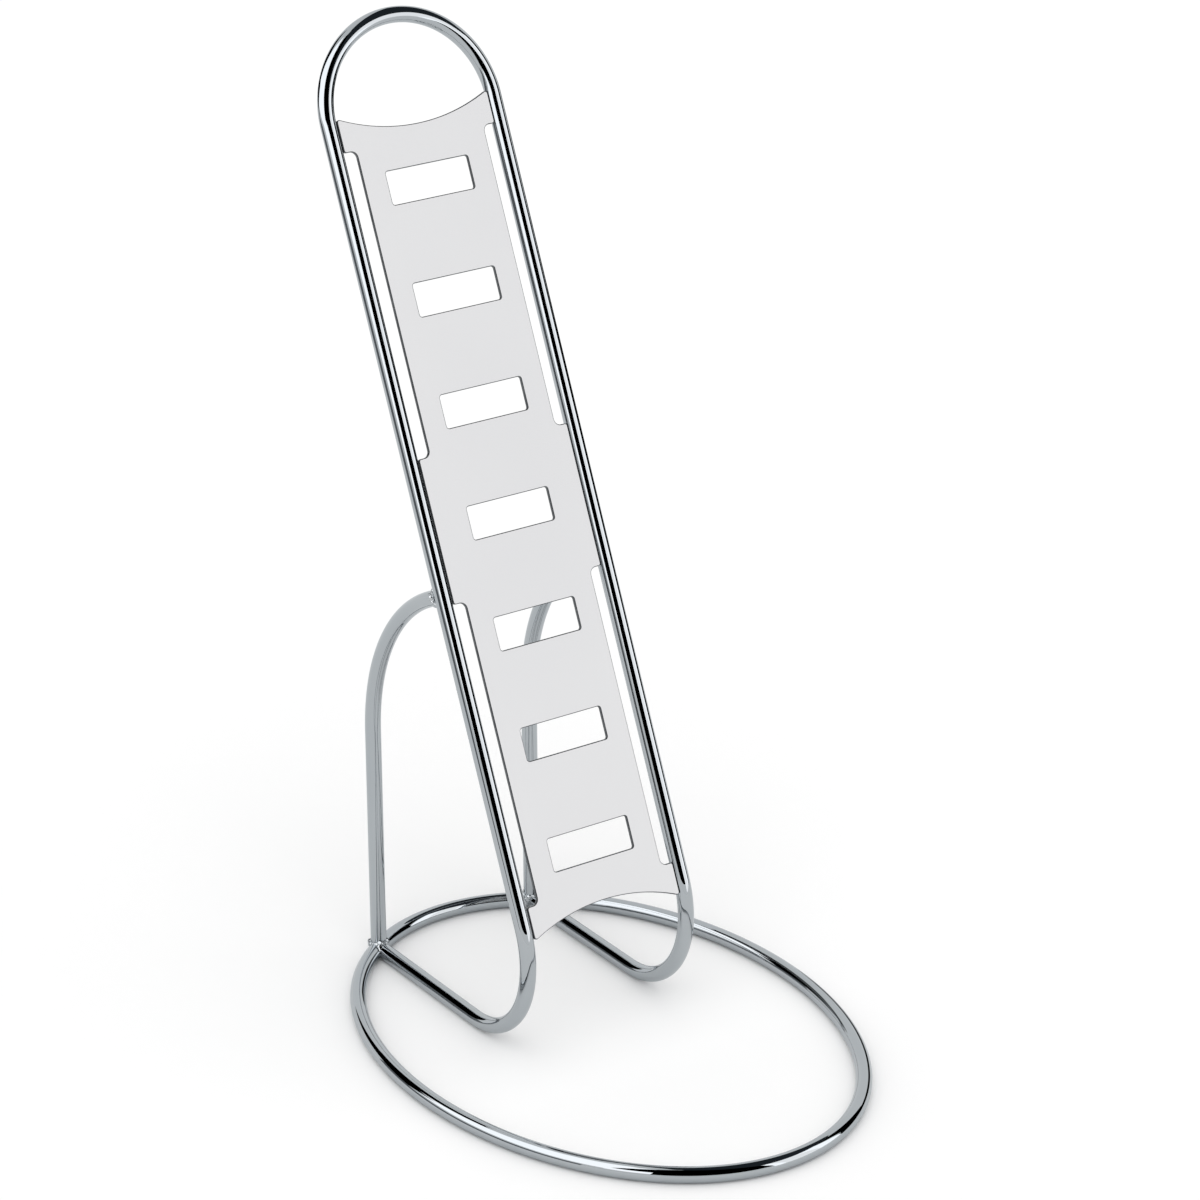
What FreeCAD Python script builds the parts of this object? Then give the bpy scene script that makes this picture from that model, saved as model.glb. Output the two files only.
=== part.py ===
"""Leaning slotted rack: bent chromed wire, a slotted sheet plate and the welds that join them.

Millimetres, +Z up.  The rack stands on its oval base ring and faces -Y.
The origin is on the table, under the middle of the whole rack's box.

The working points are laid out first from the junction line, where the legs, the
supports and the base ring meet, and everything is moved to the origin at the end.
"""
import FreeCAD, Part
import math
import os

os.makedirs("parts", exist_ok=True)

V = FreeCAD.Vector

# ---- driving dimensions ----------------------------------------------------
WIRE_D = 6.0             # all the wire
RAIL_SPACING = 70.0      # between the two rails' axes
LEAN_DEG = 24.0          # rails, from upright
LEG_REACH = 123.6        # junction line to the corner where leg and rail axes would cross
FOOT_BEND_R = 36.5       # axis radius of the bend from leg to rail

PLATE_HEIGHT = 303.7     # corner to corner, along the rails
PLATE_THICKNESS = 1.5
PLATE_PAST_BEND = 5.9    # plate's lower corners, past the start of the foot bend
PLATE_FORWARD = 0.7      # plate's middle, ahead of the rail axes
PLATE_PAST_RAIL = 2.0    # plate's upper corners, past the start of the arch
END_DIP = 7.0            # depth of the hollow curve in each end
SLOT_WIDTH = 4.9         # side slots, plate edge to rail
END_EAR = 12.6           # ears at the top and the bottom, along the rails
MIDDLE_EAR = 53.7
SLOT_CORNER_R = 2.4      # where a slot turns into an ear
EAR_CORNER_R = 1.0       # outer corners of the ears

WINDOW_COUNT = 7
WINDOW_WIDTH = 35.0
WINDOW_HEIGHT = 12.3
WINDOW_CORNER_R = 1.0
END_WINDOW_INSET = 28.1  # plate corner to the middle of the first window

RING_HALF_WIDTH = 81.5   # to the wire's axis
RING_HALF_LENGTH = 113.9

SUPPORT_STRAIGHT = 91.4  # upright length above the ring's axis
SUPPORT_TOP_RUN = 5.85   # straight again, from the end of the bend to the rail's axis

END_TRIM = 1.4           # wire ends stop this short of the axis that they meet
WELD_PROUD = 0.9         # how far a junction weld stands out of the wire
SEAM_R = 1.3             # fillet welds behind the ears
SEAM_INSET = 2.0         # ear end to the middle of its weld's round end
TABLE_GAP = 0.5          # welds stay this far above the table
SAME_PLACE = 0.1         # two points this near are one corner

# ---- working values --------------------------------------------------------
R = WIRE_D / 2
HALF = RAIL_SPACING / 2
LEAN = math.radians(LEAN_DEG)
SIDE = V(1, 0, 0)
UP = V(0, math.sin(LEAN), math.cos(LEAN))       # along the rails
OUT = V(0, -math.cos(LEAN), math.sin(LEAN))     # out of the plate's front
CORNER = V(0, -LEG_REACH, R)                    # where leg and rail axes would cross

# the bend that joins the upright to a run that meets the leaning rail square
SUPPORT_DRIFT = (SUPPORT_TOP_RUN + SUPPORT_STRAIGHT * math.sin(LEAN)) / math.cos(LEAN)
SUPPORT_BEND_R = LEG_REACH - SUPPORT_DRIFT

FOOT_BEND_REACH = FOOT_BEND_R * math.tan((math.pi / 2 + LEAN) / 2)
PLATE_FOOT = FOOT_BEND_REACH - PLATE_PAST_BEND
ARCH_START = PLATE_FOOT + PLATE_HEIGHT - PLATE_PAST_RAIL

EAR_HALF = HALF - R
BODY_HALF = EAR_HALF - SLOT_WIDTH
PLATE_BACK = PLATE_FORWARD - PLATE_THICKNESS / 2
WINDOW_PITCH = (PLATE_HEIGHT - 2 * END_WINDOW_INSET) / (WINDOW_COUNT - 1)
SLOT_LENGTH = (PLATE_HEIGHT - MIDDLE_EAR - 2 * END_EAR) / 2
LOW_SLOT = PLATE_FOOT + END_EAR
HIGH_SLOT = LOW_SLOT + SLOT_LENGTH + MIDDLE_EAR
PLATE_TOP = PLATE_FOOT + PLATE_HEIGHT

RING_Y = -RING_HALF_LENGTH * math.sqrt(1 - (HALF / RING_HALF_WIDTH) ** 2)
NORMAL_X = HALF / RING_HALF_WIDTH ** 2
NORMAL_Y = RING_Y / RING_HALF_LENGTH ** 2
LEG_TO_NORMAL = abs(NORMAL_Y) / math.hypot(NORMAL_X, NORMAL_Y)  # a cosine, at the junctions

# the whole rack's box reaches from the front of the ring to the back of the arch
FRONT_Y = RING_Y - RING_HALF_LENGTH - R
BACK_Y = -LEG_REACH + (ARCH_START + HALF) * math.sin(LEAN) + R
TO_ORIGIN = V(0, -(FRONT_Y + BACK_Y) / 2, 0)


def on_rails(x, along, forward=0.0):
    """Point at x, so far along the rails, and so far ahead of their axes."""
    return CORNER + SIDE * x + UP * along + OUT * forward


def line(start, end):
    return Part.LineSegment(start, end).toShape()


def arc(start, middle, end):
    return Part.Arc(start, middle, end).toShape()


def rod(edges, start, direction):
    """Round wire along a path that leaves start in this direction."""
    profile = Part.Wire(Part.Circle(start, direction, R).toShape())
    return Part.Wire(edges).makePipeShell([profile], True, False)


# ---- bent wire -------------------------------------------------------------
def foot_bend(x):
    """The foot bend's leg end, its middle and its rail end."""
    leg_end = CORNER + V(x, FOOT_BEND_REACH, 0)
    centre = leg_end + V(0, 0, FOOT_BEND_R)
    to_corner = (CORNER + SIDE * x - centre).normalize()
    return leg_end, centre + to_corner * FOOT_BEND_R, on_rails(x, FOOT_BEND_REACH)


def frame_loop():
    """One wire: a leg, a foot bend, a rail, the arch, and the same again down."""
    left = foot_bend(-HALF)
    right = foot_bend(HALF)
    leg_end_y = -END_TRIM / LEG_TO_NORMAL
    start = V(-HALF, leg_end_y, R)
    arch_left = on_rails(-HALF, ARCH_START)
    arch_right = on_rails(HALF, ARCH_START)
    path = [
        line(start, left[0]),
        arc(left[0], left[1], left[2]),
        line(left[2], arch_left),
        arc(arch_left, on_rails(0, ARCH_START + HALF), arch_right),
        line(arch_right, right[2]),
        arc(right[2], right[1], right[0]),
        line(right[0], V(HALF, leg_end_y, R)),
    ]
    return rod(path, start, V(0, -1, 0))


def base_ring():
    """Oval wire ring, long from front to back, through both junctions."""
    centre = V(0, RING_Y, R)
    back = centre + V(0, RING_HALF_LENGTH, 0)
    oval = Part.Ellipse(back, centre - SIDE * RING_HALF_WIDTH, centre)
    return rod([oval.toShape()], back, SIDE)


def support_top(x):
    """Where the support's bend ends, and the rail axis point that it then meets square."""
    rise = V(0, -SUPPORT_BEND_R * (1 - math.sin(LEAN)), SUPPORT_BEND_R * math.cos(LEAN))
    bend_end = V(x, 0, R + SUPPORT_STRAIGHT) + rise
    return bend_end, bend_end + OUT * SUPPORT_TOP_RUN


def support(x):
    """Wire that rises from the ring, bends forward and meets its rail square."""
    half_turn = (math.pi / 2 - LEAN) / 2
    foot = V(x, 0, R + END_TRIM)
    top = V(x, 0, R + SUPPORT_STRAIGHT)
    swing = V(0, -SUPPORT_BEND_R * (1 - math.cos(half_turn)), SUPPORT_BEND_R * math.sin(half_turn))
    bend_end, rail_point = support_top(x)
    path = [
        line(foot, top),
        arc(top, top + swing, bend_end),
        line(bend_end, rail_point - OUT * END_TRIM),
    ]
    return rod(path, foot, V(0, 0, 1))


# ---- slotted plate ---------------------------------------------------------
def through_block(x_low, x_high, low, high):
    """Plain block right through the sheet."""
    back = PLATE_BACK - PLATE_THICKNESS
    corners = [on_rails(x, s, back) for x, s in
               ((x_low, low), (x_high, low), (x_high, high), (x_low, high))]
    return Part.Face(Part.makePolygon(corners + corners[:1])).extrude(OUT * 3 * PLATE_THICKNESS)


def block(x_low, x_high, low, high, radius, rounded_sides=(-1, 1)):
    """Block through the sheet, with the corners on these sides of it rounded."""
    solid = through_block(x_low, x_high, low, high)
    round_x = [x for side, x in ((-1, x_low), (1, x_high)) if side in rounded_sides]
    return round_corners(solid, [(x, s) for x in round_x for s in (low, high)], radius)


def round_corners(solid, places, radius):
    """Round the edges that cross the sheet at these places."""
    chosen = []
    for edge in solid.Edges:
        offset = edge.CenterOfMass - CORNER
        crosses = abs(edge.tangentAt(edge.FirstParameter).dot(OUT)) > 0.999
        along = offset.dot(UP)
        here = any(math.hypot(offset.x - x, along - s) < SAME_PLACE for x, s in places)
        if crosses and here:
            chosen.append(edge)
    return solid.makeFillet(radius, chosen)


def window_places():
    first = PLATE_FOOT + END_WINDOW_INSET
    return [first + number * WINDOW_PITCH for number in range(WINDOW_COUNT)]


def ear_corners():
    """The outer corners of every ear, on both sides."""
    ends = (PLATE_FOOT, LOW_SLOT, LOW_SLOT + SLOT_LENGTH, HIGH_SLOT, HIGH_SLOT + SLOT_LENGTH, PLATE_TOP)
    return [(x, s) for x in (-EAR_HALF, EAR_HALF) for s in ends]


def slotted_plate():
    """Sheet between the rails, with windows, side slots, ears and hollow ends."""
    outline = [on_rails(x, s, PLATE_BACK) for x, s in
               ((-EAR_HALF, PLATE_FOOT), (EAR_HALF, PLATE_FOOT),
                (EAR_HALF, PLATE_TOP), (-EAR_HALF, PLATE_TOP))]
    plate = Part.Face(Part.makePolygon(outline + outline[:1])).extrude(OUT * PLATE_THICKNESS)

    dip_r = (EAR_HALF ** 2 + END_DIP ** 2) / (2 * END_DIP)
    for middle in (PLATE_FOOT + END_DIP - dip_r, PLATE_TOP - END_DIP + dip_r):
        behind = on_rails(0, middle, PLATE_BACK - PLATE_THICKNESS)
        plate = plate.cut(Part.makeCylinder(dip_r, 3 * PLATE_THICKNESS, behind, OUT))
    for low in (LOW_SLOT, HIGH_SLOT):
        high = low + SLOT_LENGTH
        plate = plate.cut(block(BODY_HALF, EAR_HALF + R, low, high, SLOT_CORNER_R, (-1,)))
        plate = plate.cut(block(-EAR_HALF - R, -BODY_HALF, low, high, SLOT_CORNER_R, (1,)))
    for middle in window_places():
        low = middle - WINDOW_HEIGHT / 2
        high = middle + WINDOW_HEIGHT / 2
        plate = plate.cut(block(-WINDOW_WIDTH / 2, WINDOW_WIDTH / 2, low, high, WINDOW_CORNER_R))
    return round_corners(plate, ear_corners(), EAR_CORNER_R)


def plate_bands(plate):
    """The sheet as five touching solids, cut across just inside the ends of the side slots.

    It is one piece of sheet on the real rack.  Kept whole, its convex hulls would
    close the side slots and the middle windows.
    """
    cuts = [PLATE_FOOT]
    for low in (LOW_SLOT, HIGH_SLOT):
        cuts += [low + SLOT_CORNER_R, low + SLOT_LENGTH - SLOT_CORNER_R]
    cuts.append(PLATE_TOP)
    bands = [plate.common(through_block(-HALF, HALF, low, high)) for low, high in zip(cuts, cuts[1:])]
    return [largest_solid(band) for band in bands]


# ---- welds -----------------------------------------------------------------
def junction_weld(x, wires):
    """Weld metal round a support's foot, in the crotches of ring, leg and support."""
    radius = R + WELD_PROUD
    inward = -math.copysign(1, x)
    blob = Part.makeSphere(radius, V(x, 0, R + WELD_PROUD))
    crotch = V(x + inward * R / 2, -R / 2 - WELD_PROUD, R)
    blob = blob.fuse(Part.makeSphere(R, crotch))
    wide = 4 * radius
    table = Part.makeBox(wide, wide, wide, V(x - wide / 2, -wide / 2, TABLE_GAP - wide))
    return blob.cut(table).cut(wires)


def rail_weld(x, wires):
    """Collar of weld metal where a support meets the back of its rail."""
    rail_point = support_top(x)[1]
    return Part.makeSphere(R + WELD_PROUD, rail_point - OUT * R).cut(wires)


def seam_weld(x, low, high, solids):
    """Fillet weld behind one ear, in the crotch of the sheet and the rail."""
    low_end = on_rails(x, low + SEAM_INSET, PLATE_BACK)
    high_end = on_rails(x, high - SEAM_INSET, PLATE_BACK)
    bead = Part.makeCylinder(SEAM_R, (high_end - low_end).Length, low_end, UP)
    bead = bead.fuse([Part.makeSphere(SEAM_R, low_end), Part.makeSphere(SEAM_R, high_end)])
    return bead.cut(solids)


def plate_welds(x, solids):
    """The seams behind one side's ears, where the sheet lies along its straight rail."""
    middle = LOW_SLOT + SLOT_LENGTH + MIDDLE_EAR / 2
    seams = [
        (FOOT_BEND_REACH, LOW_SLOT),
        (middle - END_EAR, middle + END_EAR),
        (HIGH_SLOT + SLOT_LENGTH, ARCH_START),
    ]
    return [seam_weld(x, low, high, solids) for low, high in seams]


def largest_solid(shape):
    """The boolean's main solid, without crumbs."""
    return max(shape.Solids, key=lambda solid: solid.Volume)


def build():
    """Every node's solids, by name, round the junction line."""
    ring = base_ring()
    loop = largest_solid(frame_loop().cut(ring))
    plate = largest_solid(slotted_plate())
    nodes = {"base_ring": [ring], "frame_loop": [loop], "slotted_plate": plate_bands(plate)}
    for name, x in (("left", -HALF), ("right", HALF)):
        upright = largest_solid(support(x).cut([ring, loop]))
        wires = [ring, loop, upright]
        collar = largest_solid(rail_weld(x, wires))
        seams = plate_welds(math.copysign(EAR_HALF, x), [plate, loop, upright, collar])
        nodes["support_" + name] = [upright]
        nodes["junction_weld_" + name] = [largest_solid(junction_weld(x, wires))]
        nodes["rail_weld_" + name] = [collar]
        nodes["plate_weld_" + name] = [largest_solid(seam) for seam in seams]
    return nodes


for node, solids in build().items():
    shape = solids[0] if len(solids) == 1 else Part.makeCompound(solids)
    shape.translate(TO_ORIGIN)
    for number, solid in enumerate(shape.Solids):
        print(f"{node} {number}: valid {solid.isValid()}, {solid.Volume:.2f} mm3, {len(solid.Faces)} faces")
    shape.exportStep(f"parts/{node}.step")
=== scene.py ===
"""Looks, studio and camera for the leaning slotted rack.

Metres, +Z up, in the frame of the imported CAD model.  The rack is bright plated
wire and one flat polished sheet, joined by small welds.
"""
import logging
import math
import random
from dataclasses import dataclass, field
from enum import Enum

import bmesh
import bpy
from mathutils import Matrix, Vector


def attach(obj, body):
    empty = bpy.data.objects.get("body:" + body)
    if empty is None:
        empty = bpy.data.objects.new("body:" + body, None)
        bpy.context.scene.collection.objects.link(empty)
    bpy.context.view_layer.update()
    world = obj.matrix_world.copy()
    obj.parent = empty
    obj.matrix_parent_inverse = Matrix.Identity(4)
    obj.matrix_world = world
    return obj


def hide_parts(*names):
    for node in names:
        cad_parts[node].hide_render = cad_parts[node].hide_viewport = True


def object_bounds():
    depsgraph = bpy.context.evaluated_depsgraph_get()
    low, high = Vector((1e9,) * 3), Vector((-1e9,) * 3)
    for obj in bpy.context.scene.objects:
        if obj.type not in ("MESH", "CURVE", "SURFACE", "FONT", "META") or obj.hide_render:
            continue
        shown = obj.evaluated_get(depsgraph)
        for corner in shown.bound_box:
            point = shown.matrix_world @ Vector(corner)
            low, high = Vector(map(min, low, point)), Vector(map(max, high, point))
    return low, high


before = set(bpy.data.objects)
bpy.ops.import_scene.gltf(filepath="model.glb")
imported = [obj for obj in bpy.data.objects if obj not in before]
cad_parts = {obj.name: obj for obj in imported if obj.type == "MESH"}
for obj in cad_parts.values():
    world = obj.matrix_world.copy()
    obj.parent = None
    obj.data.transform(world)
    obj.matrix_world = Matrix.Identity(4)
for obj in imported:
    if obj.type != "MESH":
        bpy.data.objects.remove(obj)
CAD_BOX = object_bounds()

LOG = logging.getLogger("slotted_rack")
MM = 0.001
BODY = "root"
RUN_STEP = 3 * MM               # between points of a straight run
BEND_STEP = math.radians(2)     # between points of a bend
MERGE_DISTANCE = 0.002 * MM     # between points of the sheet that become one
FLAT_FACING = 0.999             # least cosine to the sheet's normal of a flat face
NOISE_RANGE = (0.3, 0.7)        # where most of a noise texture's values lie
CLOUD_DETAIL = 3                # octaves of noise in a tint
GRAIN_DETAIL = 4                # octaves of noise in a surface
LUMPS_PER_METRE = 900
NOISE_MIDDLE = 0.5
Point = tuple[float, float]
Colour = tuple[float, float, float]
Stretch = tuple[float, float, float]    # along X, Y and Z
Corner = tuple[float, float, float]     # across, along, corner radius
EVEN: Stretch = (1.0, 1.0, 1.0)


class Side(Enum):
    """The rack's two sides, as seen from the front."""

    LEFT = -1
    RIGHT = 1

    @property
    def label(self) -> str:
        """The side's name in the CAD nodes."""
        return self.name.lower()


class Slot(Enum):
    """The record's material slots."""

    WIRE = "chrome_wire"
    SHEET = "polished_sheet"
    WELD = "chrome_weld"


@dataclass(frozen=True)
class RackSizes:
    """Driving sizes of the whole rack, and the points worked out from them."""

    wire_radius: float = 3 * MM
    half_spacing: float = 35 * MM
    lean: float = math.radians(24)
    leg_reach: float = 123.6 * MM
    foot_bend: float = 36.5 * MM
    plate_height: float = 303.7 * MM
    plate_past_bend: float = 5.9 * MM
    plate_past_rail: float = 2.0 * MM
    ring_half_width: float = 81.5 * MM
    ring_half_length: float = 113.9 * MM
    end_trim: float = 1.4 * MM

    @property
    def up(self) -> Vector:
        """Direction along the rails."""
        return Vector((0, math.sin(self.lean), math.cos(self.lean)))

    @property
    def out(self) -> Vector:
        """Direction out of the plate's front."""
        return Vector((0, -math.cos(self.lean), math.sin(self.lean)))

    @property
    def ring_offset(self) -> float:
        """How far the ring's middle lies ahead of the junction line."""
        share = self.half_spacing / self.ring_half_width
        return self.ring_half_length * math.sqrt(1 - share * share)

    @property
    def bend_reach(self) -> float:
        """From the corner of the leg and rail axes to either end of the foot bend."""
        return self.foot_bend * math.tan((math.pi / 2 + self.lean) / 2)

    @property
    def plate_foot(self) -> float:
        """The plate's lower corners, along the rails."""
        return self.bend_reach - self.plate_past_bend

    @property
    def plate_top(self) -> float:
        """The plate's upper corners, along the rails."""
        return self.plate_foot + self.plate_height

    @property
    def arch_start(self) -> float:
        """Where the rails end and the arch begins, along the rails."""
        return self.plate_top - self.plate_past_rail

    @property
    def junction_y(self) -> float:
        """The junction line's place, from the front of the ring in the frame's box."""
        front = CAD_BOX[0].y
        return front + self.ring_offset + self.ring_half_length + self.wire_radius

    def junction(self, side: Side) -> Vector:
        """The point where leg, support and ring axes meet on one side."""
        return Vector((side.value * self.half_spacing, self.junction_y, self.wire_radius))

    def on_rails(self, x: float, along: float, forward: float = 0.0) -> Vector:
        """Point at x, so far along the rails and so far ahead of their axes."""
        corner = Vector((x, self.junction_y - self.leg_reach, self.wire_radius))
        return corner + self.up * along + self.out * forward


SIZES = RackSizes()


# ---- shared helpers --------------------------------------------------------
def straight(start: Vector, end: Vector) -> list[Vector]:
    """Even points along a straight run, without its end.

    Args:
        start: First point.
        end: Point that the run reaches.

    Returns:
        The points from start up to, and not with, end.
    """
    count = max(1, math.ceil((end - start).length / RUN_STEP))
    return [start.lerp(end, number / count) for number in range(count)]


def bend(centre: Vector, first: Vector, second: Vector, angle: float) -> list[Vector]:
    """Points round a bend, without its end.

    Args:
        centre: Middle of the bend.
        first: From the centre to the bend's start.
        second: As long as first, and square to it, on the side the bend turns to.
        angle: How far the bend turns, in radians.

    Returns:
        The points, a bend step apart or less.
    """
    count = max(2, math.ceil(angle / BEND_STEP))
    turns = [angle * number / count for number in range(count)]
    return [centre + first * math.cos(turn) + second * math.sin(turn) for turn in turns]


def finished(maker: bpy.types.Object, name: str) -> bpy.types.Object:
    """Turn an object with live modifiers or curve settings into a plain mesh object.

    Args:
        maker: The object to evaluate. It is removed.
        name: Name of the new piece.

    Returns:
        A mesh object at the origin.
    """
    bpy.context.view_layer.update()
    evaluated = maker.evaluated_get(bpy.context.evaluated_depsgraph_get())
    mesh = bpy.data.meshes.new_from_object(evaluated)
    mesh.name = name
    bpy.data.objects.remove(maker)
    piece = bpy.data.objects.new(name, mesh)
    bpy.context.scene.collection.objects.link(piece)
    return piece


def seat(piece: bpy.types.Object, slot: Slot, *nodes: str) -> None:
    """Tie a finished piece to the rack's one body and hide the CAD nodes it stands for.

    Args:
        piece: The finished mesh object.
        slot: Material slot in the record; not used.
        *nodes: CAD nodes that the piece replaces.
    """
    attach(piece, BODY)
    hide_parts(*nodes)
    LOG.info("%s: %d faces, for %s", piece.name, len(piece.data.polygons), ", ".join(nodes))


# ---- finishes --------------------------------------------------------------
class NodeTree:
    """A node tree, with short calls to add to it."""

    def __init__(self, tree: bpy.types.NodeTree) -> None:
        """Hold the tree."""
        self.tree = tree

    def add(self, kind: str, **settings: object) -> bpy.types.Node:
        """Add a node and set its properties.

        Args:
            kind: Blender's name for the type of node.
            **settings: Properties of the node.

        Returns:
            The new node.
        """
        node = self.tree.nodes.new(kind)
        for key, value in settings.items():
            setattr(node, key, value)
        return node

    def join(self, output: bpy.types.NodeSocket, target: bpy.types.NodeSocket) -> None:
        """Link two sockets."""
        self.tree.links.new(output, target)

    def blend(self, switch: bpy.types.NodeSocket, first: Colour, second: Colour,
              base: bpy.types.NodeSocket | None = None) -> bpy.types.NodeSocket:
        """Mix two colours.

        Args:
            switch: 0 gives the first colour and 1 the second.
            first: First colour.
            second: Second colour.
            base: Colour socket that takes the first colour's place, if any.

        Returns:
            The mixed colour.
        """
        mix = self.add("ShaderNodeMix", data_type="RGBA")
        colours = [socket for socket in mix.inputs if socket.type == "RGBA"]
        colours[0].default_value = (*first, 1)
        colours[1].default_value = (*second, 1)
        if base is not None:
            self.join(base, colours[0])
        self.join(switch, mix.inputs["Factor"])
        return next(socket for socket in mix.outputs if socket.type == "RGBA")


class Recipe(NodeTree):
    """A Principled material, with the steps that finishes share."""

    def __init__(self, name: str) -> None:
        """Start a material.

        Args:
            name: The material's name.
        """
        self.material = bpy.data.materials.new(name)
        self.material.use_nodes = True
        super().__init__(self.material.node_tree)
        self.shader = self.tree.nodes["Principled BSDF"]

    def noise(self, scale: float, detail: float, stretch: Stretch, turn: float = 0.0) -> bpy.types.NodeSocket:
        """Noise on the piece's own coordinates.

        Args:
            scale: Cells in a metre.
            detail: Octaves.
            stretch: Scale along each axis, to draw the pattern out.
            turn: Turn about X, in radians, to follow a leaning piece.

        Returns:
            The noise's value, from 0 to 1.
        """
        place = self.add("ShaderNodeTexCoord")
        mapping = self.add("ShaderNodeMapping")
        mapping.inputs["Rotation"].default_value = (turn, 0, 0)
        mapping.inputs["Scale"].default_value = stretch
        texture = self.add("ShaderNodeTexNoise")
        texture.inputs["Scale"].default_value = scale
        texture.inputs["Detail"].default_value = detail
        self.join(place.outputs["Object"], mapping.inputs["Vector"])
        self.join(mapping.outputs["Vector"], texture.inputs["Vector"])
        return texture.outputs["Fac"]

    def spread(self, value: bpy.types.NodeSocket, low: float, high: float) -> bpy.types.NodeSocket:
        """Map a noise value onto a range of numbers.

        Args:
            value: The noise.
            low: Number for its low values.
            high: Number for its high values.

        Returns:
            The mapped value.
        """
        node = self.add("ShaderNodeMapRange")
        node.inputs["From Min"].default_value = NOISE_RANGE[0]
        node.inputs["From Max"].default_value = NOISE_RANGE[1]
        node.inputs["To Min"].default_value = low
        node.inputs["To Max"].default_value = high
        self.join(value, node.inputs["Value"])
        return node.outputs["Result"]

    def tint(self, value: bpy.types.NodeSocket, low: Colour, high: Colour) -> None:
        """Drive the base colour between two tints."""
        self.join(self.blend(value, low, high), self.shader.inputs["Base Color"])

    def relief(self, value: bpy.types.NodeSocket, strength: float, depth: float) -> None:
        """Drive the surface's fine relief.

        Args:
            value: Height, from 0 to 1.
            strength: Share of the relief that shows.
            depth: Height of the relief.
        """
        bump = self.add("ShaderNodeBump")
        bump.inputs["Strength"].default_value = strength
        bump.inputs["Distance"].default_value = depth
        self.join(value, bump.inputs["Height"])
        self.join(bump.outputs["Normal"], self.shader.inputs["Normal"])


@dataclass(frozen=True)
class MetalFinish:
    """A bright metal whose tint, gloss and relief vary a little over the surface."""

    name: str
    cool: Colour
    warm: Colour
    smooth: float
    dull: float
    cloud_scale: float
    grain_scale: float
    grain_stretch: Stretch
    relief_depth: float
    relief_strength: float = 0.2
    turn: float = 0.0

    def make(self) -> bpy.types.Material:
        """Build the material.

        Returns:
            The finish as a node material.
        """
        recipe = Recipe(self.name)
        recipe.shader.inputs["Metallic"].default_value = 1.0
        cloud = recipe.noise(self.cloud_scale, CLOUD_DETAIL, EVEN)
        recipe.tint(recipe.spread(cloud, 0, 1), self.cool, self.warm)
        grain = recipe.noise(self.grain_scale, GRAIN_DETAIL, self.grain_stretch, self.turn)
        recipe.join(recipe.spread(grain, self.smooth, self.dull), recipe.shader.inputs["Roughness"])
        recipe.relief(grain, self.relief_strength, self.relief_depth)
        return recipe.material


WIRE_PLATING = MetalFinish(
    "wire_plating", cool=(0.50, 0.525, 0.545), warm=(0.53, 0.55, 0.565), smooth=0.006, dull=0.022,
    cloud_scale=22, grain_scale=300, grain_stretch=EVEN, relief_depth=0.002 * MM)
SHEET_POLISH = MetalFinish(
    "sheet_polish", cool=(0.54, 0.54, 0.545), warm=(0.56, 0.56, 0.562), smooth=0.06, dull=0.11,
    cloud_scale=9, grain_scale=420, grain_stretch=(1, 0.04, 1), relief_depth=0.002 * MM,
    turn=SIZES.lean)
# The cut edges' colour is painted shade: near-black, standing in for the dark lines along the sheet's edges.
# Their duller gloss is real.
EDGE_SHADE_PAINT = MetalFinish(
    "painted_edge_shade", cool=(0.10, 0.105, 0.11), warm=(0.17, 0.175, 0.18), smooth=0.20, dull=0.30,
    cloud_scale=120, grain_scale=500, grain_stretch=EVEN, relief_depth=0.002 * MM)
WELD_PLATING = MetalFinish(
    "weld_plating", cool=(0.46, 0.49, 0.51), warm=(0.60, 0.61, 0.62), smooth=0.02, dull=0.08,
    cloud_scale=160, grain_scale=900, grain_stretch=EVEN, relief_depth=0.08 * MM,
    relief_strength=0.4)


# ---- Geometry Nodes --------------------------------------------------------
class Graph(NodeTree):
    """A Geometry Nodes tree with named inputs."""

    def __init__(self, name: str, inputs: dict[str, str]) -> None:
        """Start a tree that takes geometry.

        Args:
            name: The tree's name.
            inputs: The other inputs' names and socket types.
        """
        super().__init__(bpy.data.node_groups.new(name, "GeometryNodeTree"))
        face = self.tree.interface
        face.new_socket("Geometry", in_out="INPUT", socket_type="NodeSocketGeometry")
        for label, kind in inputs.items():
            face.new_socket(label, in_out="INPUT", socket_type=kind)
        face.new_socket("Geometry", in_out="OUTPUT", socket_type="NodeSocketGeometry")
        self.source = self.add("NodeGroupInput")
        self.result = self.add("NodeGroupOutput")

    def close(self, geometry: bpy.types.NodeSocket) -> None:
        """End the tree with smooth shading, real instances and the finish.

        Args:
            geometry: The shape to finish.
        """
        smooth = self.add("GeometryNodeSetShadeSmooth")
        real = self.add("GeometryNodeRealizeInstances")
        paint = self.add("GeometryNodeSetMaterial")
        self.join(geometry, smooth.inputs["Geometry"])
        self.join(smooth.outputs["Geometry"], real.inputs["Geometry"])
        self.join(real.outputs["Geometry"], paint.inputs["Geometry"])
        self.join(self.source.outputs["Finish"], paint.inputs["Material"])
        self.join(paint.outputs["Geometry"], self.result.inputs["Geometry"])

    def run(self, maker: bpy.types.Object, name: str, **values: object) -> bpy.types.Object:
        """Run the tree on an object and keep the plain result.

        Args:
            maker: Object that carries the path or points. It is removed.
            name: Name of the new piece.
            **values: The named inputs, with underscores for spaces.

        Returns:
            The finished mesh object.
        """
        modifier = maker.modifiers.new("made", "NODES")
        modifier.node_group = self.tree
        wanted = {label.replace("_", " "): value for label, value in values.items()}
        for item in self.tree.interface.items_tree:
            if item.in_out == "INPUT" and item.name in wanted:
                modifier[item.identifier] = wanted[item.name]
        return finished(maker, name)


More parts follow.
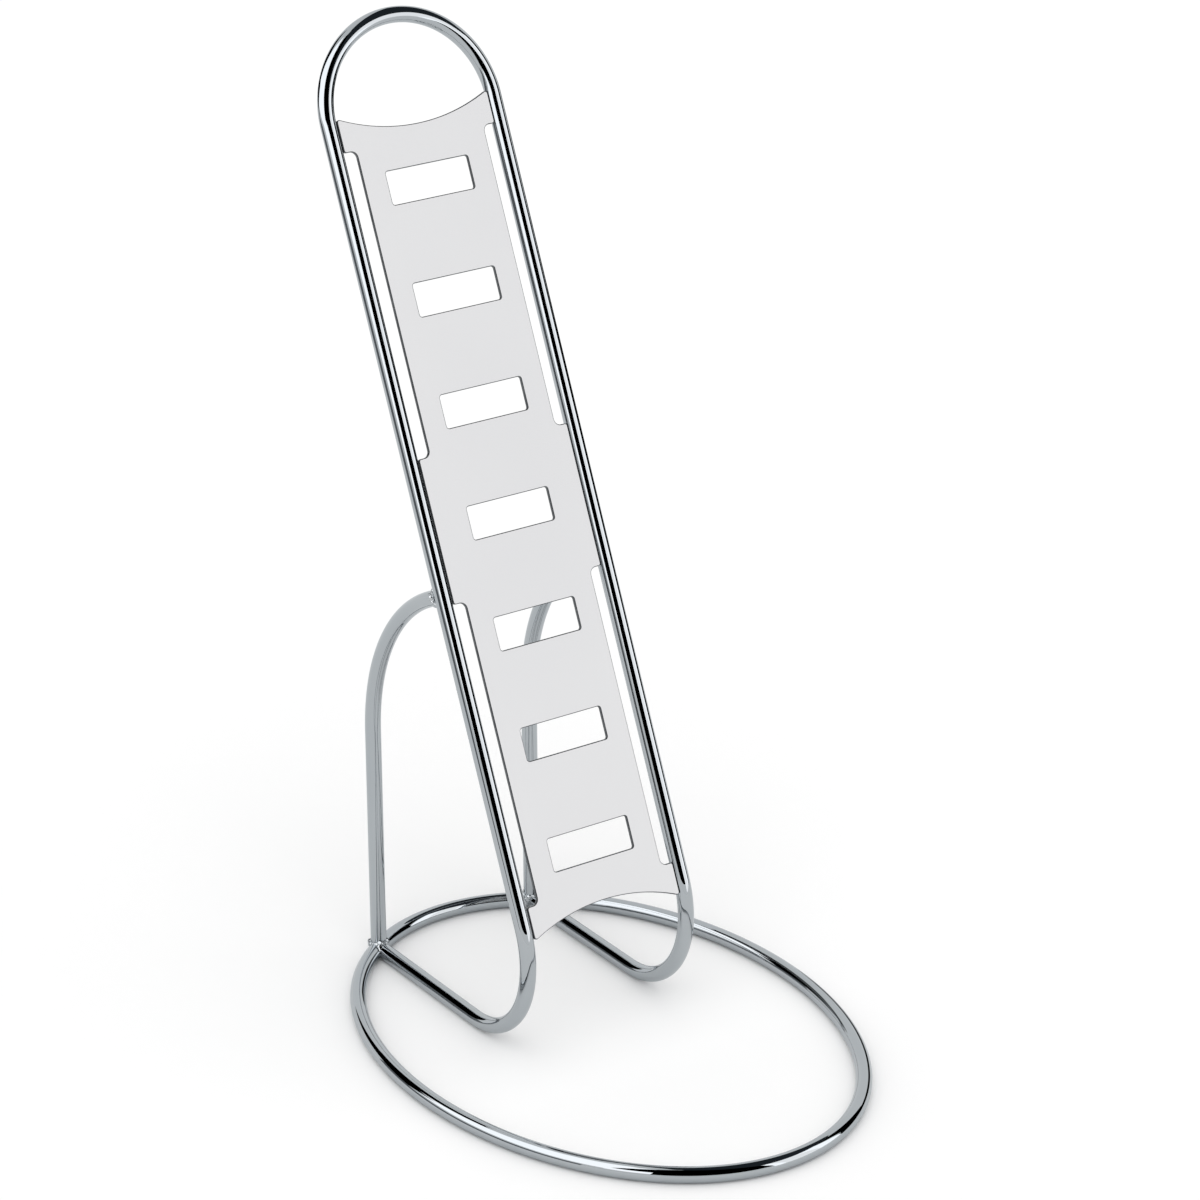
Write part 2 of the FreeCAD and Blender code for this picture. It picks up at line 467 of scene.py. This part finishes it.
def wire_graph() -> Graph:
    """Round wire swept along a path.

    Returns:
        The tree, with inputs Wire radius, Sides and Finish.
    """
    graph = Graph("wire_sweep", {"Wire radius": "NodeSocketFloat", "Sides": "NodeSocketInt",
                                 "Finish": "NodeSocketMaterial"})
    ring = graph.add("GeometryNodeCurvePrimitiveCircle")
    sweep = graph.add("GeometryNodeCurveToMesh")
    sweep.inputs["Fill Caps"].default_value = True
    graph.join(graph.source.outputs["Sides"], ring.inputs["Resolution"])
    graph.join(graph.source.outputs["Wire radius"], ring.inputs["Radius"])
    graph.join(graph.source.outputs["Geometry"], sweep.inputs["Curve"])
    graph.join(ring.outputs["Curve"], sweep.inputs["Profile Curve"])
    graph.close(sweep.outputs["Mesh"])
    return graph


def weld_graph() -> Graph:
    """Beads of weld metal run together, one round each point.

    Returns:
        The tree, with inputs Grid size, Lump height, Seed and Finish.
    """
    graph = Graph("weld_beads", {"Grid size": "NodeSocketFloat", "Lump height": "NodeSocketFloat",
                                 "Seed": "NodeSocketInt", "Finish": "NodeSocketMaterial"})
    points = graph.add("GeometryNodeMeshToPoints")
    radius = graph.add("GeometryNodeInputNamedAttribute", data_type="FLOAT")
    radius.inputs["Name"].default_value = "bead_radius"
    volume = graph.add("GeometryNodePointsToVolume", resolution_mode="VOXEL_SIZE")
    skin = graph.add("GeometryNodeVolumeToMesh", resolution_mode="VOXEL_SIZE")
    noise = graph.add("ShaderNodeTexNoise", noise_dimensions="4D")
    noise.inputs["Scale"].default_value = LUMPS_PER_METRE
    centred = graph.add("ShaderNodeMath", operation="SUBTRACT")
    centred.inputs[1].default_value = NOISE_MIDDLE
    height = graph.add("ShaderNodeMath", operation="MULTIPLY")
    normal = graph.add("GeometryNodeInputNormal")
    push = graph.add("ShaderNodeVectorMath", operation="SCALE")
    lumps = graph.add("GeometryNodeSetPosition")
    source = graph.source.outputs
    graph.join(source["Geometry"], points.inputs["Mesh"])
    graph.join(radius.outputs["Attribute"], points.inputs["Radius"])
    graph.join(points.outputs["Points"], volume.inputs["Points"])
    graph.join(radius.outputs["Attribute"], volume.inputs["Radius"])
    graph.join(source["Grid size"], volume.inputs["Voxel Size"])
    graph.join(volume.outputs["Volume"], skin.inputs["Volume"])
    graph.join(source["Grid size"], skin.inputs["Voxel Size"])
    graph.join(source["Seed"], noise.inputs["W"])
    graph.join(noise.outputs["Fac"], centred.inputs[0])
    graph.join(centred.outputs["Value"], height.inputs[0])
    graph.join(source["Lump height"], height.inputs[1])
    graph.join(normal.outputs["Normal"], push.inputs["Vector"])
    graph.join(height.outputs["Value"], push.inputs["Scale"])
    graph.join(skin.outputs["Mesh"], lumps.inputs["Geometry"])
    graph.join(push.outputs["Vector"], lumps.inputs["Offset"])
    graph.close(lumps.outputs["Geometry"])
    return graph


# ---- bent wire -------------------------------------------------------------
@dataclass
class BentWire:
    """One length of round wire along a path of straight runs and bends."""

    name: str
    node: str
    path: list[Vector]
    closed: bool = False
    sides: int = 48

    def build(self, graph: Graph, finish: bpy.types.Material) -> None:
        """Sweep the wire along its path.

        Args:
            graph: The wire sweep tree.
            finish: The plating.
        """
        curve = bpy.data.curves.new(self.name + "_path", "CURVE")
        curve.dimensions = "3D"
        spline = curve.splines.new("POLY")
        spline.points.add(len(self.path) - 1)
        for place, point in zip(spline.points, self.path):
            place.co = (*point, 1)
        spline.use_cyclic_u = self.closed
        maker = bpy.data.objects.new(self.name + "_maker", curve)
        bpy.context.scene.collection.objects.link(maker)
        piece = graph.run(maker, self.name, Wire_radius=SIZES.wire_radius, Sides=self.sides, Finish=finish)
        seat(piece, Slot.WIRE, self.node)


@dataclass
class Frame:
    """The looped wire: legs, foot bends, rails and arch."""

    sizes: RackSizes = SIZES

    def half(self, side: Side) -> list[Vector]:
        """Path of one leg, foot bend and rail.

        Args:
            side: The side it is on.

        Returns:
            Points from the leg's end up to the arch's start, without that point.
        """
        s = self.sizes
        x = side.value * s.half_spacing
        end = s.junction(side) - Vector((0, s.end_trim, 0))
        leg_end = s.on_rails(x, 0) + Vector((0, s.bend_reach, 0))
        centre = leg_end + Vector((0, 0, s.foot_bend))
        points = straight(end, leg_end)
        down = Vector((0, 0, -s.foot_bend))
        forward = Vector((0, -s.foot_bend, 0))
        points += bend(centre, down, forward, math.pi / 2 + s.lean)
        return points + straight(s.on_rails(x, s.bend_reach), s.on_rails(x, s.arch_start))

    def path(self) -> list[Vector]:
        """The whole loop's path.

        Returns:
            Points from the left leg's end, over the arch, to the right leg's end.
        """
        s = self.sizes
        arch = bend(s.on_rails(0, s.arch_start), Vector((-s.half_spacing, 0, 0)),
                    s.up * s.half_spacing, math.pi)
        arch.append(s.on_rails(s.half_spacing, s.arch_start))
        return self.half(Side.LEFT) + arch + self.half(Side.RIGHT)[::-1]

    def build(self, graph: Graph, finish: bpy.types.Material) -> None:
        """Make the looped wire."""
        BentWire("frame_wire", "frame_loop", self.path()).build(graph, finish)


@dataclass
class BaseRing:
    """The oval ring that the rack stands on."""

    sizes: RackSizes = SIZES
    steps: int = 360

    def path(self) -> list[Vector]:
        """Points round the oval.

        Returns:
            Even turns of the oval, starting at its right.
        """
        s = self.sizes
        middle = Vector((0, s.junction_y - s.ring_offset, s.wire_radius))
        turns = [2 * math.pi * number / self.steps for number in range(self.steps)]
        return [middle + Vector((s.ring_half_width * math.cos(turn),
                                 s.ring_half_length * math.sin(turn), 0)) for turn in turns]

    def build(self, graph: Graph, finish: bpy.types.Material) -> None:
        """Make the ring."""
        BentWire("ring_wire", "base_ring", self.path(), closed=True).build(graph, finish)


@dataclass
class Support:
    """A wire that rises from the ring, bends forward and meets its rail square."""

    side: Side
    sizes: RackSizes = SIZES
    straight_rise: float = 91.4 * MM
    top_run: float = 5.85 * MM

    @property
    def bend_radius(self) -> float:
        """Radius that joins the upright to a run square to the rail.

        Returns:
            The bend's radius, to the wire's axis.
        """
        s = self.sizes
        drift = (self.top_run + self.straight_rise * math.sin(s.lean)) / math.cos(s.lean)
        return s.leg_reach - drift

    def rail_point(self) -> Vector:
        """The point on the rail's axis that the support meets.

        Returns:
            The point.
        """
        s = self.sizes
        top = s.junction(self.side) + Vector((0, 0, self.straight_rise))
        radius = self.bend_radius
        rise = Vector((0, -radius * (1 - math.sin(s.lean)), radius * math.cos(s.lean)))
        return top + rise + s.out * self.top_run

    def path(self) -> list[Vector]:
        """The support's path.

        Returns:
            Points from the ring up to the rail.
        """
        s = self.sizes
        foot = s.junction(self.side)
        top = foot + Vector((0, 0, self.straight_rise))
        back = Vector((0, self.bend_radius, 0))
        lift = Vector((0, 0, self.bend_radius))
        end = self.rail_point()
        points = straight(foot + Vector((0, 0, s.end_trim)), top)
        points += bend(top - back, back, lift, math.pi / 2 - s.lean)
        points += straight(end - s.out * self.top_run, end - s.out * s.end_trim)
        return points + [end - s.out * s.end_trim]

    def build(self, graph: Graph, finish: bpy.types.Material) -> None:
        """Make the support."""
        label = self.side.label
        BentWire(f"support_{label}_wire", f"support_{label}", self.path()).build(graph, finish)


# ---- slotted plate ---------------------------------------------------------
@dataclass
class SlottedPlate:
    """The one sheet between the rails: seven windows, side slots, ears and hollow ends."""

    sizes: RackSizes = SIZES
    thickness: float = 1.5 * MM
    forward: float = 0.7 * MM
    end_dip: float = 7 * MM
    slot_width: float = 4.9 * MM
    end_ear: float = 12.6 * MM
    middle_ear: float = 53.7 * MM
    slot_corner: float = 2.4 * MM
    ear_corner: float = 1.0 * MM
    window: Point = (35 * MM, 12.3 * MM)
    window_corner: float = 1.0 * MM
    window_count: int = 7
    end_inset: float = 28.1 * MM
    edge_break: float = 0.3 * MM
    edge_steps: int = 3
    dip_steps: int = 24

    @property
    def ear_half(self) -> float:
        """Half the plate's width at its ears, rail to rail."""
        return self.sizes.half_spacing - self.sizes.wire_radius

    def slots(self) -> list[Point]:
        """Where the side slots lie.

        Returns:
            Each slot's start and end, along the rails.
        """
        s = self.sizes
        length = (s.plate_height - self.middle_ear - 2 * self.end_ear) / 2
        low = s.plate_foot + self.end_ear
        high = low + length + self.middle_ear
        return [(low, low + length), (high, high + length)]

    def dip(self, end: float, towards: float) -> list[Corner]:
        """Points along one hollow end, from the left corner to the right, without corners.

        Args:
            end: The end's corners, along the rails.
            towards: 1 if the hollow reaches up into the plate, -1 if down.

        Returns:
            Points with a corner radius of 0.
        """
        half = self.ear_half
        radius = (half * half + self.end_dip ** 2) / (2 * self.end_dip)
        across = [half * (2 * number / self.dip_steps - 1) for number in range(1, self.dip_steps)]
        sag = [self.end_dip - radius + math.sqrt(radius * radius - x * x) for x in across]
        return [(x, end + towards * depth, 0.0) for x, depth in zip(across, sag)]

    def outline(self) -> list[Corner]:
        """The sheet's outer outline.

        Returns:
            Its corners with their radii, anticlockwise from the lower left.
        """
        s = self.sizes
        ear, body = self.ear_half, self.ear_half - self.slot_width
        right = [(ear, s.plate_foot, self.ear_corner)]
        for low, high in self.slots():
            right += [(ear, low, self.ear_corner), (body, low, self.slot_corner),
                      (body, high, self.slot_corner), (ear, high, self.ear_corner)]
        right.append((ear, s.plate_top, self.ear_corner))
        left = [(-x, along, radius) for x, along, radius in reversed(right)]
        return self.dip(s.plate_foot, 1) + right + self.dip(s.plate_top, -1)[::-1] + left

    def windows(self) -> list[list[Corner]]:
        """The windows' outlines.

        Returns:
            Each window's four corners, with their radius.
        """
        s = self.sizes
        first = s.plate_foot + self.end_inset
        pitch = (s.plate_height - 2 * self.end_inset) / (self.window_count - 1)
        wide, high = (size / 2 for size in self.window)
        signs = ((-1, -1), (1, -1), (1, 1), (-1, 1))
        return [[(a * wide, first + number * pitch + b * high, self.window_corner) for a, b in signs]
                for number in range(self.window_count)]

    @staticmethod
    def rounded(corners: list[Corner], steps: int = 8) -> list[Point]:
        """Round the corners of a closed outline.

        Args:
            corners: Points with their corner radii.
            steps: Pieces in each rounded corner.

        Returns:
            The outline's points.
        """
        points: list[Point] = []
        for number, (x, y, radius) in enumerate(corners):
            if not radius:
                points.append((x, y))
                continue
            here = Vector((x, y))
            before = (Vector(corners[number - 1][:2]) - here).normalized()
            after = (Vector(corners[(number + 1) % len(corners)][:2]) - here).normalized()
            half_angle = before.angle(after) / 2
            centre = here + (before + after).normalized() * (radius / math.sin(half_angle))
            start = here + before * (radius / math.tan(half_angle)) - centre
            end = here + after * (radius / math.tan(half_angle)) - centre
            sweep = start.angle_signed(end)
            for step in range(steps + 1):
                turn = Matrix.Rotation(-sweep * step / steps, 2)
                points.append(tuple(centre + turn @ start))
        return points

    def build(self, finish: bpy.types.Material, edge: bpy.types.Material) -> None:
        """Cut the sheet from its outline, break its edges and lay it between the rails.

        Args:
            finish: Polish of the two faces.
            edge: Material of the cut edges, near-black as painted shade.
        """
        curve = bpy.data.curves.new("plate_outline", "CURVE")
        curve.dimensions = "2D"
        curve.fill_mode = "BOTH"
        curve.extrude = self.thickness / 2 - self.edge_break
        curve.bevel_depth = self.edge_break
        curve.bevel_resolution = self.edge_steps
        curve.offset = -self.edge_break
        for loop in [self.outline()] + self.windows():
            points = self.rounded(loop)
            spline = curve.splines.new("POLY")
            spline.points.add(len(points) - 1)
            for place, (x, along) in zip(spline.points, points):
                place.co = (x, along, 0, 1)
            spline.use_cyclic_u = True
        maker = bpy.data.objects.new("plate_maker", curve)
        bpy.context.scene.collection.objects.link(maker)
        piece = finished(maker, "plate_sheet")
        s = self.sizes
        place = Matrix.Translation(s.on_rails(0, 0, self.forward))
        axes = Matrix((Vector((1, 0, 0)), s.up, s.out)).transposed().to_4x4()
        piece.data.transform(place @ axes)
        piece.data.materials.clear()
        piece.data.materials.append(finish)
        piece.data.materials.append(edge)
        self.close_edges(piece.data)
        seat(piece, Slot.SHEET, "slotted_plate")

    def close_edges(self, mesh: bpy.types.Mesh) -> None:
        """Merge the sheet into one skin, with flat faces and smooth edges that carry the painted edge shade.

        Args:
            mesh: The sheet's mesh, with its polish first and its painted edge shade second.
        """
        work = bmesh.new()
        work.from_mesh(mesh)
        bmesh.ops.remove_doubles(work, verts=work.verts, dist=MERGE_DISTANCE)
        bmesh.ops.recalc_face_normals(work, faces=work.faces)
        for face in work.faces:
            on_edge = abs(face.normal.dot(self.sizes.out)) < FLAT_FACING
            face.smooth = on_edge
            # Edge faces take the second material, whose near-black is painted shade along the edges.
            face.material_index = int(on_edge)
        work.to_mesh(mesh)
        work.free()


# ---- welds -----------------------------------------------------------------
@dataclass
class Weld:
    """Weld metal: beads that run together.

    The turn scatter is a share of the beads' spacing, and the axis scatter a share of their
    usual radius, which the size scatters multiply.
    """

    name: str
    node: str
    seed: int
    beads: list[tuple[Vector, float]] = field(default_factory=list)
    grid: float = 0.22 * MM
    lump_height: float = 0.8 * MM
    turn_scatter: Point = (-0.2, 0.2)
    axis_scatter: Point = (-0.25, 0.35)
    size_scatter: Point = (0.82, 1.18)
    row_size_scatter: Point = (0.88, 1.08)

    def circle(self, centre: Vector, axis: Vector, radius: float, bead: float, count: int) -> None:
        """Add beads in a circle, each a little out of place and of its own size.

        Args:
            centre: Middle of the circle.
            axis: Direction square to the circle.
            radius: Circle's radius.
            bead: Beads' usual radius.
            count: Number of beads.
        """
        chance = random.Random(self.seed)
        first = axis.orthogonal().normalized()
        second = axis.cross(first)
        for number in range(count):
            turn = 2 * math.pi * (number + chance.uniform(*self.turn_scatter)) / count
            spoke = first * math.cos(turn) + second * math.sin(turn)
            place = centre + spoke * radius + axis * chance.uniform(*self.axis_scatter) * bead
            self.beads.append((place, bead * chance.uniform(*self.size_scatter)))

    def row(self, start: Vector, end: Vector, bead: float, pitch: float) -> None:
        """Add a row of beads, as a seam is laid.

        Args:
            start: First bead's place.
            end: Last bead's place.
            bead: Beads' usual radius.
            pitch: Distance between beads.
        """
        chance = random.Random(self.seed)
        count = max(2, round((end - start).length / pitch))
        for number in range(count + 1):
            size = bead * chance.uniform(*self.row_size_scatter)
            self.beads.append((start.lerp(end, number / count), size))

    def build(self, graph: Graph, finish: bpy.types.Material) -> None:
        """Run the beads together.

        Args:
            graph: The bead tree.
            finish: The plating.
        """
        mesh = bpy.data.meshes.new(self.name + "_points")
        mesh.from_pydata([place for place, _ in self.beads], [], [])
        radii = mesh.attributes.new("bead_radius", "FLOAT", "POINT")
        radii.data.foreach_set("value", [radius for _, radius in self.beads])
        maker = bpy.data.objects.new(self.name + "_maker", mesh)
        bpy.context.scene.collection.objects.link(maker)
        piece = graph.run(maker, self.name, Grid_size=self.grid, Lump_height=self.lump_height,
                          Seed=self.seed, Finish=finish)
        seat(piece, Slot.WELD, self.node)


LOOSE_BEADS = ((0.3, -0.95, 0.95, 0.52), (0.5, -1.25, 0.7, 0.5), (0.65, -1.5, 0.4, 0.45),
               (-0.85, -0.45, 0.4, 0.4), (-0.85, 0.2, 0.4, 0.38), (0.75, 0.45, 0.35, 0.36))


@dataclass
class SideWelds:
    """All the weld metal on one side of the rack.

    The circles' measures and the loose beads are in wire radii. A loose bead is placed
    outwards, back and up from the junction, and its radius comes last.
    """

    side: Side
    plate: SlottedPlate
    sizes: RackSizes = SIZES
    junction_seed: int = 11
    rail_seed: int = 21
    seam_seed: int = 31
    junction_rise: float = 0.75
    junction_circle: float = 1.0
    junction_bead: float = 0.38
    junction_count: int = 12
    rail_circle: float = 0.93
    rail_bead: float = 0.36
    rail_count: int = 13
    seam_lump_height: float = 0.3 * MM
    seam_bead: float = 1.15 * MM
    seam_pitch: float = 1.3 * MM
    seam_inset: float = 2.0 * MM
    seam_set_back: float = 0.6 * MM

    def junction(self) -> Weld:
        """Weld round the support's foot and in the crotches of ring and leg.

        Returns:
            The weld.
        """
        s = self.sizes
        weld = Weld(f"junction_weld_{self.side.label}_metal", f"junction_weld_{self.side.label}",
                    self.junction_seed + self.side.value)
        foot = s.junction(self.side)
        r = s.wire_radius
        weld.circle(foot + Vector((0, 0, self.junction_rise * r)), Vector((0, 0, 1)),
                    self.junction_circle * r, self.junction_bead * r, self.junction_count)
        for out, back, rise, size in LOOSE_BEADS:
            weld.beads.append((foot + Vector((self.side.value * out, back, rise)) * r, size * r))
        return weld

    def rail(self) -> Weld:
        """Collar where the support meets the back of its rail.

        Returns:
            The weld.
        """
        s = self.sizes
        weld = Weld(f"rail_weld_{self.side.label}_metal", f"rail_weld_{self.side.label}",
                    self.rail_seed + self.side.value)
        r = s.wire_radius
        meeting = Support(self.side).rail_point() - s.out * r
        weld.circle(meeting, s.out, self.rail_circle * r, self.rail_bead * r, self.rail_count)
        return weld

    def seams(self) -> Weld:
        """Beads behind the ears, in the crotch of sheet and rail.

        Returns:
            The three seams, as one weld.
        """
        s = self.sizes
        weld = Weld(f"plate_weld_{self.side.label}_metal", f"plate_weld_{self.side.label}",
                    self.seam_seed + self.side.value, lump_height=self.seam_lump_height)
        (low_start, low_end), (_, high_end) = self.plate.slots()
        x = self.side.value * self.plate.ear_half
        back = self.plate.forward - self.plate.thickness / 2 - self.seam_set_back
        middle = low_end + self.plate.middle_ear / 2
        ear = self.plate.end_ear
        for low, high in ((s.bend_reach, low_start), (middle - ear, middle + ear),
                          (high_end, s.arch_start)):
            weld.row(s.on_rails(x, low + self.seam_inset, back),
                     s.on_rails(x, high - self.seam_inset, back), self.seam_bead, self.seam_pitch)
        return weld

    def build(self, graph: Graph, finish: bpy.types.Material) -> None:
        """Make this side's welds."""
        for weld in (self.junction(), self.rail(), self.seams()):
            weld.build(graph, finish)


# ---- studio ----------------------------------------------------------------
@dataclass(frozen=True)
class StudioCard:
    """A curved card round the rack that shows only in polished metal.

    Azimuth 0 lies straight ahead of the rack and grows towards its right.
    """

    name: str
    azimuth: Point
    elevation: Point
    radiance: Colour
    distance: float = 1.0
    centre_height: float = 0.15
    steps: int = 16

    def place(self, azimuth: float, elevation: float) -> Vector:
        """Find a point of the card.

        Args:
            azimuth: Its azimuth, in degrees.
            elevation: Its elevation, in degrees.

        Returns:
            The point.
        """
        a, e = math.radians(azimuth), math.radians(elevation)
        spoke = Vector((math.sin(a) * math.cos(e), -math.cos(a) * math.cos(e), math.sin(e)))
        return spoke * self.distance + Vector((0, 0, self.centre_height))

    def build(self) -> None:
        """Hang the card."""
        steps = self.steps
        az0, az1 = self.azimuth
        el0, el1 = self.elevation
        grid = [[self.place(az0 + (az1 - az0) * i / steps, el0 + (el1 - el0) * j / steps)
                 for i in range(steps + 1)] for j in range(steps + 1)]
        faces = [(j * (steps + 1) + i, j * (steps + 1) + i + 1, (j + 1) * (steps + 1) + i + 1,
                  (j + 1) * (steps + 1) + i) for j in range(steps) for i in range(steps)]
        mesh = bpy.data.meshes.new(self.name)
        mesh.from_pydata([point for line in grid for point in line], [], faces)
        card = bpy.data.objects.new(self.name, mesh)
        bpy.context.scene.collection.objects.link(card)
        glow = bpy.data.materials.new(self.name)
        glow.use_nodes = True
        nodes = glow.node_tree.nodes
        nodes.remove(nodes["Principled BSDF"])
        emission = nodes.new("ShaderNodeEmission")
        emission.inputs["Color"].default_value = (*self.radiance, 1)
        glow.node_tree.links.new(emission.outputs["Emission"], nodes["Material Output"].inputs["Surface"])
        mesh.materials.append(glow)
        card.visible_camera = False
        card.visible_diffuse = False
        card.visible_shadow = False
        card.visible_transmission = False


BLACK = (0.0, 0.0, 0.0)
DARK = (0.02, 0.025, 0.03)
WHITE_SILK = (1.75, 1.77, 1.8)
CARDS = (
    StudioCard("left_softbox", (-146, -67), (27, 80), WHITE_SILK),
    StudioCard("left_softbox_mid", (-137, -67), (14, 27), WHITE_SILK),
    StudioCard("left_softbox_low", (-67, -48), (10, 32), WHITE_SILK),
    StudioCard("left_low_flag", (-150, -74), (-8, 5), (0.14, 0.15, 0.16)),
    StudioCard("rear_left_flag_high", (-178, -147), (27, 50), BLACK),
    StudioCard("rear_left_flag_low", (-176, -138), (5, 27), BLACK),
    StudioCard("camera_flag_high", (-67, 16), (32, 88), BLACK),
    StudioCard("camera_flag_low", (-48, 14), (5, 32), BLACK),
    StudioCard("front_softbox_left", (14, 21), (-4, 40), WHITE_SILK),
    StudioCard("front_softbox", (21, 46), (-4, 40), (1.40, 1.40, 1.41)),
    StudioCard("front_softbox_right", (46, 64), (-4, 40), WHITE_SILK),
    StudioCard("overhead_flag", (16, 150), (40, 88), DARK),
    StudioCard("right_flag", (67, 92), (6, 40), BLACK),
    StudioCard("right_low_flag", (64, 130), (-8.4, 7), BLACK),
)


@dataclass
class Studio:
    """Pale floor, soft light from all round and cards for the metal to reflect."""

    floor_half: float = 6.0
    white: Colour = (1.0, 1.0, 1.0)
    reflected: Colour = (0.78, 0.80, 0.81)
    fill_strength: float = 0.92
    key_strength: float = 0.42
    key_spread: float = math.radians(60)
    key_tilt: Point = (math.radians(28), math.radians(-22))

    def floor(self) -> None:
        """Lay a plain floor, white to the eye and pale blue-grey in the metal."""
        half = self.floor_half
        mesh = bpy.data.meshes.new("floor")
        mesh.from_pydata([(-half, -half, 0), (half, -half, 0), (half, half, 0), (-half, half, 0)],
                         [], [(0, 1, 2, 3)])
        ground = bpy.data.objects.new("floor", mesh)
        bpy.context.scene.collection.objects.link(ground)
        recipe = Recipe("floor_paper")
        recipe.shader.inputs["Roughness"].default_value = 1.0
        recipe.shader.inputs["Specular IOR Level"].default_value = 0.0
        ray = recipe.add("ShaderNodeLightPath")
        recipe.tint(ray.outputs["Is Camera Ray"], self.reflected, self.white)
        mesh.materials.append(recipe.material)

    def world(self) -> None:
        """Light the rack evenly, white behind it and grey-blue in its reflections."""
        world = bpy.data.worlds.new("studio")
        bpy.context.scene.world = world
        world.use_nodes = True
        nodes = NodeTree(world.node_tree)
        ray = nodes.add("ShaderNodeLightPath")
        fill = (self.fill_strength,) * 3
        in_metal = nodes.blend(ray.outputs["Is Glossy Ray"], fill, self.reflected)
        seen = nodes.blend(ray.outputs["Is Camera Ray"], fill, self.white, in_metal)
        nodes.join(seen, nodes.tree.nodes["Background"].inputs["Color"])

    def key(self) -> None:
        """A broad, weak key light for the object's soft shadow on the floor."""
        lamp = bpy.data.lights.new("key", "SUN")
        lamp.energy = self.key_strength
        lamp.angle = self.key_spread
        light = bpy.data.objects.new("key", lamp)
        light.rotation_euler = (*self.key_tilt, 0)
        light.visible_glossy = False
        bpy.context.scene.collection.objects.link(light)

    def build(self) -> None:
        """Set up the whole studio."""
        self.floor()
        self.world()
        self.key()
        for card in CARDS:
            card.build()
        bpy.context.scene.view_settings.view_transform = "Standard"


@dataclass
class ShotCamera:
    """A long lens, a little above the rack and well to its left."""

    azimuth: float = math.radians(-34.31)
    elevation: float = math.radians(23.32)
    roll: float = math.radians(-0.24)
    distance: float = 1.706
    lens: float = 132.33
    sensor: float = 36.0
    across: float = 56.22 * MM
    above: float = 127.28 * MM

    def build(self) -> None:
        """Place the camera and make it the scene's own."""
        level = math.cos(self.elevation)
        back = Vector((math.sin(self.azimuth) * level, -math.cos(self.azimuth) * level,
                       math.sin(self.elevation)))
        right = Vector((math.cos(self.azimuth), math.sin(self.azimuth), 0))
        up = back.cross(right)
        aim = Vector((0, SIZES.junction_y, 0)) + right * self.across + up * self.above
        tilted_right = right * math.cos(self.roll) + up * math.sin(self.roll)
        tilted_up = up * math.cos(self.roll) - right * math.sin(self.roll)
        data = bpy.data.cameras.new("camera")
        data.lens = self.lens
        data.sensor_width = self.sensor
        camera = bpy.data.objects.new("camera", data)
        turn = Matrix((tilted_right, tilted_up, back)).transposed().to_4x4()
        camera.matrix_world = Matrix.Translation(aim + back * self.distance) @ turn
        bpy.context.scene.collection.objects.link(camera)
        bpy.context.scene.camera = camera


def main() -> None:
    """Build the rack's pieces, its studio and its camera."""
    logging.basicConfig(level=logging.INFO, format="%(name)s: %(message)s")
    wire = WIRE_PLATING.make()
    sheet = SHEET_POLISH.make()
    weld = WELD_PLATING.make()
    sweep = wire_graph()
    beads = weld_graph()
    Frame().build(sweep, wire)
    BaseRing().build(sweep, wire)
    plate = SlottedPlate()
    plate.build(sheet, EDGE_SHADE_PAINT.make())
    for side in Side:
        Support(side).build(sweep, wire)
        SideWelds(side, plate).build(beads, weld)
    Studio().build()
    ShotCamera().build()


if __name__ == "__main__":
    main()
